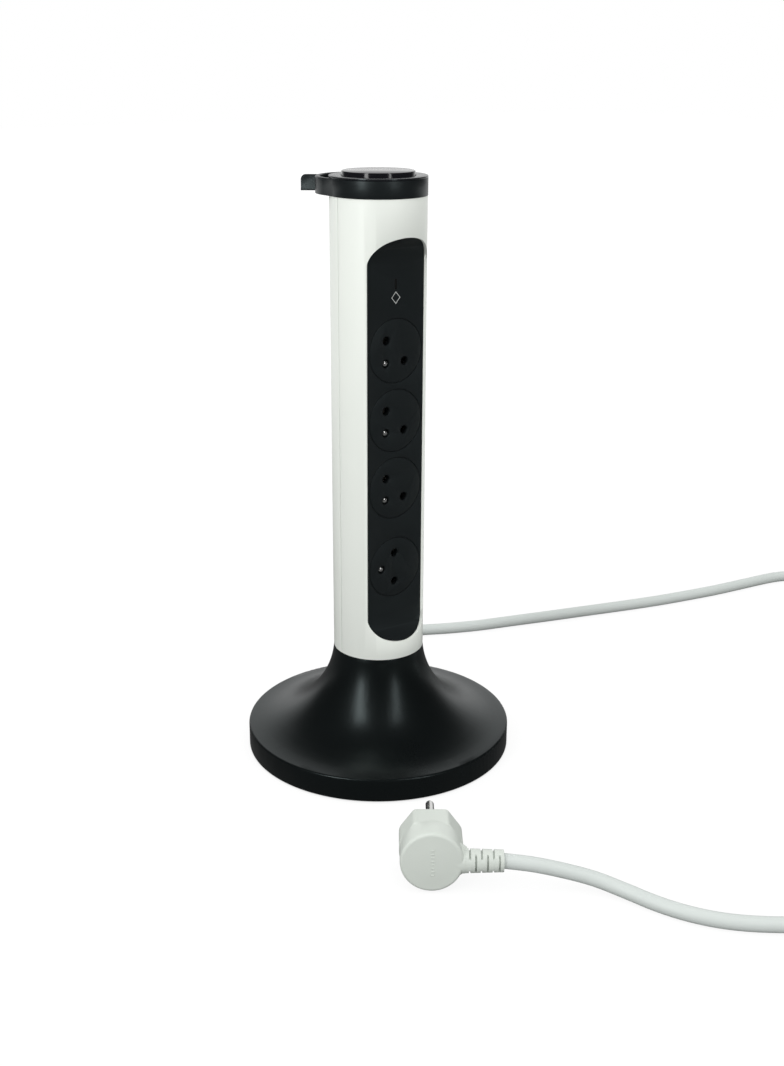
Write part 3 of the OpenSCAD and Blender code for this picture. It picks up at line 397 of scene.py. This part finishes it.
def edit_all(piece, *steps):
    """Runs mesh operators, each given with its values, on the whole of a piece."""
    pick_only(piece)
    bpy.ops.object.mode_set(mode="EDIT")
    for operator, values in steps:
        bpy.ops.mesh.select_all(action="SELECT")
        operator(**values)
    bpy.ops.object.mode_set(mode="OBJECT")


def apply_modifier(piece, name, kind, **values):
    modifier = piece.modifiers.new(name, kind)
    for key, value in values.items():
        setattr(modifier, key, value)
    pick_only(piece)
    bpy.ops.object.modifier_apply(modifier=name)


def smooth_by_angle(piece, degrees=SMOOTH_ANGLE):
    pick_only(piece)
    bpy.ops.object.shade_smooth_by_angle(angle=math.radians(degrees))


def node_copy(node, ending, *steps):
    """A copy of a CAD node, with its loose triangles merged and then worked on in the steps given."""
    piece = bpy.data.objects.new(node + ending, NODES[node].data.copy())
    bpy.context.scene.collection.objects.link(piece)
    edit_all(piece, (bpy.ops.mesh.remove_doubles, {"threshold": MERGE}), *steps)
    return piece


def stand_for(piece, node):
    """Puts a piece in a CAD node's place, on its body, and hides the node."""
    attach(piece, NODES[node]["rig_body"])
    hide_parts(node)


# ---- Mouldings with eased edges ----

FLAT_ANGLE, SHARP_ANGLE = 0.5, 35.0
EASED = {"base_shell": 0.4, "front_shell": 0.35, "rear_shell": 0.2, "face_panel": 0.25, "top_collar": 0.35,
         "cap_ring": 0.4, "push_button": 0.5, **{f"socket_disc_{n}": 0.3 for n in SOCKETS},
         "base_plate": 0.3, "rubber_feet": 0.5, "earth_pins": 0.3, "base_screws": 0.15,
         "cord_gland": 0.35, "plug_face": 0.25, "plug_earth_socket": 0.15}
RELIEF_EASE, RELIEF_SMOOTH = 0.75, 60.0
PIN_REACH, PIN_SHANK_Y = 1.9, -12.0


def eased(node, width, steps=2, smooth=SMOOTH_ANGLE):
    """A copy of a CAD node with its sharp edges eased, that stands for the node."""
    piece = node_copy(node, "_eased",
                      (bpy.ops.mesh.dissolve_limited, {"angle_limit": math.radians(FLAT_ANGLE)}))
    apply_modifier(piece, "ease", "BEVEL", width=width * MM, segments=steps, limit_method="ANGLE",
                   angle_limit=math.radians(SHARP_ANGLE), use_clamp_overlap=True)
    smooth_by_angle(piece, smooth)
    stand_for(piece, node)
    return piece


def reach_forward(pins):
    """Brings the tips of the earth pins up to the socket discs' faces."""
    for corner in pins.data.vertices:
        if corner.co.y < PIN_SHANK_Y * MM:
            corner.co.y -= PIN_REACH * MM


pieces = {name: eased(name, edge) for name, edge in EASED.items()}
pieces["plug_relief"] = eased("plug_relief", RELIEF_EASE, steps=3, smooth=RELIEF_SMOOTH)
reach_forward(pieces["earth_pins"])


# ---- Springs ----

SPRING_SMOOTH = 60.0


def coil_spring(node):
    """A smooth-shaded copy of a coil spring that stands for its node, with a mesh of its own."""
    spring = node_copy(node, "_coil")
    smooth_by_angle(spring, SPRING_SMOOTH)
    stand_for(spring, node)
    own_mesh(spring)


for number in SOCKETS:
    coil_spring(f"disc_spring_{number}")
coil_spring("button_spring")


# ---- Plug ----

PLUG_LEN = 34.0
PLUG_SIDES = 120
PLUG_SMOOTH = 28.0
# The back is round, with a domed end and a rounded rim
BACK_LEN, BACK_MIDDLE = 15.5, 9.0
BACK_RIM, BACK_DOME = 1.9, 0.75
RIM_STEPS = 8
# Rings over the dome, each by its place along the axis and how far in from the side it lies
DOME_RINGS = [(0.02, 15.5), (0.08, 12.5), (0.2, 9.5), (0.42, 6.5), (0.66, 4.5)]
# The front is a blunt octagon, which grows out of the back over a short step
STEP_LEN, STEP_RINGS = 1.5, 6
FRONT_TOP, FRONT_SIDE, FRONT_FLAT, FRONT_CORNER = 15.9, 17.85, 9.4, 4.6
FRONT_SLOPE = 0.02
BLUNTNESS = 36
FRONT_MIDDLES = (20, 24, 28, 31)
# Rings over the front's edge, each by how far back from the end and how far in from the side it lies
EDGE_RINGS = [(1.2, 0.0), (0.5, 0.12), (0.12, 0.5), (0.0, 1.2)]
# The stem carries the strain relief, and the fairing leads from the plug's side into the stem
RELIEF_R = 6.7
STEM = {"root": RELIEF_R - 0.3, "end": RELIEF_R + 0.15, "length": 12.0, "past": 0.0, "along": RELIEF_Y,
        "flat": 1.0}
FAIRING = {"root": 13.2, "end": RELIEF_R + 0.1, "length": 8.6, "past": 1.4, "along": 9.6, "flat": 0.62}
CONE_SIDES = 64


def plug_place():
    """Carries the plug's own frame, in millimetres, to its place in the model."""
    return (Matrix.Rotation(LAY_TURN, 4, "Z") @ Matrix.Translation(PLUG_AT * MM)
            @ Matrix.Rotation(-PLUG_DOWN, 4, "X") @ Matrix.Scale(MM, 4))


def skinned(name, rings):
    """A piece with a closed skin over rings of equal count, and a flat face at each end."""
    work = bmesh.new()
    loops = [[work.verts.new(p) for p in ring] for ring in rings]
    count = len(rings[0])
    for low, high in zip(loops, loops[1:]):
        for k in range(count):
            work.faces.new((low[k], low[(k + 1) % count], high[(k + 1) % count], high[k]))
    work.faces.new(loops[0][::-1])
    work.faces.new(loops[-1])
    bmesh.ops.recalc_face_normals(work, faces=work.faces)
    mesh = bpy.data.meshes.new(name)
    work.to_mesh(mesh)
    work.free()
    piece = bpy.data.objects.new(name, mesh)
    bpy.context.scene.collection.objects.link(piece)
    return piece


def plug_outline(angle, along):
    """Distance from the plug's axis to its side: a round back, then a blunt octagon with flat facets."""
    c, s = abs(math.cos(angle)) + 1e-9, abs(math.sin(angle)) + 1e-9
    top = FRONT_TOP + (PLUG_LEN - along) * FRONT_SLOPE
    run, rise = FRONT_SIDE - FRONT_FLAT, top - FRONT_CORNER
    slant = (rise * FRONT_FLAT + run * top) / (rise * c + run * s)
    octagon = sum((1 / r) ** BLUNTNESS for r in (top / s, FRONT_SIDE / c, slant)) ** (-1 / BLUNTNESS)
    t = min(max((along - BACK_LEN) / STEP_LEN, 0), 1)
    return PLUG_R + (octagon - PLUG_R) * t * t * (3 - 2 * t)


def plug_stations():
    """The rings of the plug, each by its place along the axis and how far in from the side it lies."""
    stations = DOME_RINGS + [(BACK_DOME, BACK_RIM)]
    for k in range(1, RIM_STEPS + 1):
        angle = math.radians(90 * k / RIM_STEPS)
        stations.append((BACK_DOME + BACK_RIM * (1 - math.cos(angle)), BACK_RIM * (1 - math.sin(angle))))
    stations.append((BACK_MIDDLE, 0.0))
    stations += [(BACK_LEN + STEP_LEN * k / STEP_RINGS, 0.0) for k in range(STEP_RINGS + 1)]
    stations += [(y, 0.0) for y in FRONT_MIDDLES]
    return stations + [(PLUG_LEN - back, pull) for back, pull in EDGE_RINGS]


def join_cone(shell, root, end, length, past, along, flat):
    """Joins a cone to the plug's side, which narrows from its root to its end at the strain relief."""
    bpy.ops.object.select_all(action="DESELECT")
    middle = (RELIEF_X + past - length / 2, along, -RELIEF_DOWN)
    bpy.ops.mesh.primitive_cone_add(vertices=CONE_SIDES, radius1=root, radius2=end, depth=length,
                                    location=middle, rotation=(0, math.radians(90), 0))
    cone = bpy.context.object
    cone.scale.y = flat
    apply_modifier(shell, "join", "BOOLEAN", operation="UNION", solver="EXACT", object=cone)
    bpy.data.objects.remove(cone)


def make_plug_shell():
    angles = [2 * math.pi * k / PLUG_SIDES for k in range(PLUG_SIDES)]
    rings = []
    for y, pull in plug_stations():
        reaches = [plug_outline(a, y) - pull for a in angles]
        rings.append([Vector((r * math.cos(a), y, r * math.sin(a))) for r, a in zip(reaches, angles)])
    shell = skinned("plug_shell", rings)
    join_cone(shell, **STEM)
    join_cone(shell, **FAIRING)
    shell.data.transform(plug_place())
    smooth_by_angle(shell, PLUG_SMOOTH)
    shell.data.materials.append(FINISHES["plug_white"])
    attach(shell, "tower")
    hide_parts("plug_back", "plug_body")
    return shell


# ---- The plug's ribs, and the mark on the panel ----

GRIP_COUNT, GRIP_STEP = 8, 2.1
GRIP_AT, GRIP_SIZE = (0.6, 0.1, 0.3), (2.0, 0.7, 0.75)
GRIP_ROUND = 0.28
PANEL_Y = -17.5
MARK_Z, MARK_WIDE, MARK_TALL, MARK_LINE = 297.6, 6.4, 7.4, 0.34
MARK_SUNK, MARK_THICK = 0.02, 0.08


def settle(piece, slot):
    """Puts a new piece's place into its mesh, turns its faces out and gives it its finish."""
    pick_only(piece)
    bpy.ops.object.transform_apply(location=True, rotation=True, scale=True)
    edit_all(piece, (bpy.ops.mesh.remove_doubles, {"threshold": MERGE}),
             (bpy.ops.mesh.normals_make_consistent, {"inside": False}))
    smooth_by_angle(piece)
    piece.data.materials.append(FINISHES[slot])
    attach(piece, "tower")
    return piece


def make_grip():
    """A row of low ribs down the back of the plug, for the thumb."""
    x, y, z = GRIP_AT
    bpy.ops.object.select_all(action="DESELECT")
    bpy.ops.mesh.primitive_cube_add(size=1, location=(x, y, z - GRIP_STEP * (GRIP_COUNT - 1) / 2))
    grip = bpy.context.object
    grip.name = "plug_grip"
    grip.scale = GRIP_SIZE
    bpy.ops.object.transform_apply(location=True, rotation=True, scale=True)
    apply_modifier(grip, "round", "BEVEL", width=GRIP_ROUND, segments=2)
    apply_modifier(grip, "row", "ARRAY", count=GRIP_COUNT, use_relative_offset=False,
                   use_constant_offset=True, constant_offset_displace=(0, 0, GRIP_STEP))
    grip.data.transform(plug_place())
    return settle(grip, "plug_white")


def make_mark():
    """A plain outlined kite printed on the panel below the indicator."""
    low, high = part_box("indicator_light")
    middle = ((low[0] + high[0]) / 2, PANEL_Y * MM + MARK_SUNK * MM, MARK_Z * MM)
    bpy.ops.object.select_all(action="DESELECT")
    bpy.ops.mesh.primitive_circle_add(vertices=4, radius=MARK_TALL / 2 * MM, fill_type="NGON",
                                      rotation=(math.radians(90), 0, 0), location=middle)
    mark = bpy.context.object
    mark.name = "panel_mark"
    mark.scale.x = MARK_WIDE / MARK_TALL
    bpy.ops.object.transform_apply(location=True, rotation=True, scale=True)
    bpy.ops.object.mode_set(mode="EDIT")
    bpy.ops.mesh.select_all(action="SELECT")
    bpy.ops.mesh.inset(thickness=MARK_LINE * MM, depth=0)
    bpy.ops.mesh.delete(type="FACE")
    bpy.ops.mesh.select_all(action="SELECT")
    bpy.ops.mesh.extrude_region_move(TRANSFORM_OT_translate={"value": (0, -MARK_THICK * MM, 0)})
    bpy.ops.object.mode_set(mode="OBJECT")
    return settle(mark, "plug_grey")


plug_shell = make_plug_shell()
plug_grip = make_grip()
make_mark()
plug_pieces = [plug_shell, plug_grip, NODES["plug_pins"]]
plug_pieces += [pieces[name] for name in ("plug_face", "plug_earth_socket", "plug_relief")]


# ---- Floor, light and background ----

FLOOR_WIDE = 14.0
# A painted shadow darkens the floor below the base and fades out just past its rim, and the floor is a
# little brighter far away
PAINTED_SHADOW_FULL, PAINTED_SHADOW_END = 0.079, 0.0875
FAR_FROM, FAR_TO = 0.5, 1.6
FLOOR_NEAR, FLOOR_FAR = 0.88, 1.0
# How strongly it takes shadows, and how pale it is to light that comes off other pieces
FLOOR_SHADE, FLOOR_PALE = 0.12, 0.33
# Glossy pieces mirror it dark in front of the object and bright behind
GLOSS_FROM, GLOSS_TO = 0.15, 1.2
FLOOR_FRONT, FLOOR_BACK = 0.1, 0.9
# They mirror a dim room with a bright wall behind, and other pieces take an even light from it
WALL_EDGE, WALL_FULL = 0.6, 0.93
ROOM_FRONT, ROOM_WALL, ROOM_SOFT = 0.05, 1.0, 0.97
LAMP_AIM = 0.2


def shader_tree(owner):
    owner.use_nodes = True
    owner.node_tree.nodes.clear()
    return owner.node_tree.nodes.new, owner.node_tree.links.new


def spread(add, link, value, low, high, at_low, at_high):
    """A value that eases from at_low to at_high while another goes from low to high."""
    node = add("ShaderNodeMapRange")
    node.interpolation_type = "SMOOTHSTEP"
    link(value, node.inputs["Value"])
    for name, number in (("From Min", low), ("From Max", high), ("To Min", at_low), ("To Max", at_high)):
        node.inputs[name].default_value = number
    return node.outputs["Result"]


def away(add, link, place):
    """How far a place on the floor lies from the column's axis."""
    node = add("ShaderNodeVectorMath")
    node.operation = "LENGTH"
    link(place, node.inputs[0])
    return node.outputs["Value"]


def behind(add, link, place):
    """How far a place or direction lies behind the object, seen from the camera."""
    node = add("ShaderNodeVectorMath")
    node.operation = "DOT_PRODUCT"
    link(place, node.inputs[0])
    node.inputs[1].default_value = from_view(0, 1)
    return node.outputs["Value"]


def matt(add, level):
    node = add("ShaderNodeBsdfDiffuse")
    node.inputs["Color"].default_value = (level, level, level, 1)
    return node.outputs[0]


def glow(add, link, strength):
    node = add("ShaderNodeEmission")
    link(strength, node.inputs["Strength"])
    return node.outputs[0]


def choose(add, link, factor, first, second):
    node = add("ShaderNodeMixShader")
    link(factor, node.inputs["Fac"])
    link(first, node.inputs[1])
    link(second, node.inputs[2])
    return node.outputs[0]


def rays(add, link):
    """Masks for what the camera sees, also through clear pieces, and for what glossy pieces mirror."""
    path = add("ShaderNodeLightPath").outputs
    seen = math_node(add, link, "MAXIMUM", path["Is Camera Ray"], path["Is Transmission Ray"])
    return seen, path["Is Glossy Ray"]


def set_floor():
    """White paper that shows the shadows on it, with a painted shadow under the base."""
    bpy.ops.object.select_all(action="DESELECT")
    bpy.ops.mesh.primitive_plane_add(size=FLOOR_WIDE)
    floor = bpy.context.object
    floor.name = "floor"
    material = bpy.data.materials.new("floor_paper")
    add, link = shader_tree(material)
    place = add("ShaderNodeTexCoord").outputs["Object"]
    distance = away(add, link, place)
    far = spread(add, link, distance, FAR_FROM, FAR_TO, FLOOR_NEAR, FLOOR_FAR)
    # Painted shadow: the floor's glow falls to nothing under the base, standing in for the base's contact
    # shadow
    painted_shadow = spread(add, link, distance, PAINTED_SHADOW_FULL, PAINTED_SHADOW_END, 0.0, 1.0)
    shown = add("ShaderNodeAddShader")
    link(glow(add, link, math_node(add, link, "MULTIPLY", far, painted_shadow)), shown.inputs[0])
    link(matt(add, FLOOR_SHADE), shown.inputs[1])
    depth = behind(add, link, place)
    mirrored = glow(add, link, spread(add, link, depth, GLOSS_FROM, GLOSS_TO, FLOOR_FRONT, FLOOR_BACK))
    seen, glossy = rays(add, link)
    surface = choose(add, link, glossy, matt(add, FLOOR_PALE), mirrored)
    surface = choose(add, link, seen, surface, shown.outputs[0])
    link(surface, add("ShaderNodeOutputMaterial").inputs["Surface"])
    floor.data.materials.append(material)


def set_world():
    """White wherever the camera looks, a bright wall behind the object and a dim room in front of it."""
    world = bpy.data.worlds.new("studio")
    bpy.context.scene.world = world
    add, link = shader_tree(world)
    way = add("ShaderNodeTexCoord").outputs["Generated"]
    seen, glossy = rays(add, link)
    room = spread(add, link, behind(add, link, way), WALL_EDGE, WALL_FULL, ROOM_FRONT, ROOM_WALL)
    level = add("ShaderNodeMix")
    link(glossy, level.inputs[0])
    level.inputs[2].default_value = ROOM_SOFT
    link(room, level.inputs[3])
    back = add("ShaderNodeBackground")
    back.inputs["Color"].default_value = (1, 1, 1, 1)
    link(math_node(add, link, "MAXIMUM", level.outputs[0], seen), back.inputs["Strength"])
    link(back.outputs[0], add("ShaderNodeOutputWorld").inputs["Surface"])


def soft_box(name, place, size, power, mirrored=True):
    """A flat lamp, placed across, along and above the line of sight, and aimed at the column."""
    data = bpy.data.lights.new(name, "AREA")
    data.shape = "RECTANGLE"
    data.size, data.size_y = size
    data.energy = power
    lamp = bpy.data.objects.new(name, data)
    bpy.context.scene.collection.objects.link(lamp)
    lamp.location = from_view(*place)
    way = Vector((0, 0, LAMP_AIM)) - lamp.location
    lamp.rotation_mode = "QUATERNION"
    lamp.rotation_quaternion = way.to_track_quat("-Z", "Y")
    lamp.visible_camera = False
    lamp.visible_glossy = mirrored


set_floor()
set_world()
soft_box("strip_left", place=(-0.75, -0.98, 0.86), size=(0.25, 1.32), power=6.3)
soft_box("strip_right", place=(0.75, -0.98, 0.86), size=(0.14, 1.32), power=2.8)
soft_box("side_fill", place=(-1.1, -0.35, 0.45), size=(0.6, 0.6), power=0.9, mirrored=False)
soft_box("overhead", place=(0.0, -0.1, 1.6), size=(1.2, 1.2), power=3.5, mirrored=False)
bpy.context.scene.view_settings.view_transform = "Standard"
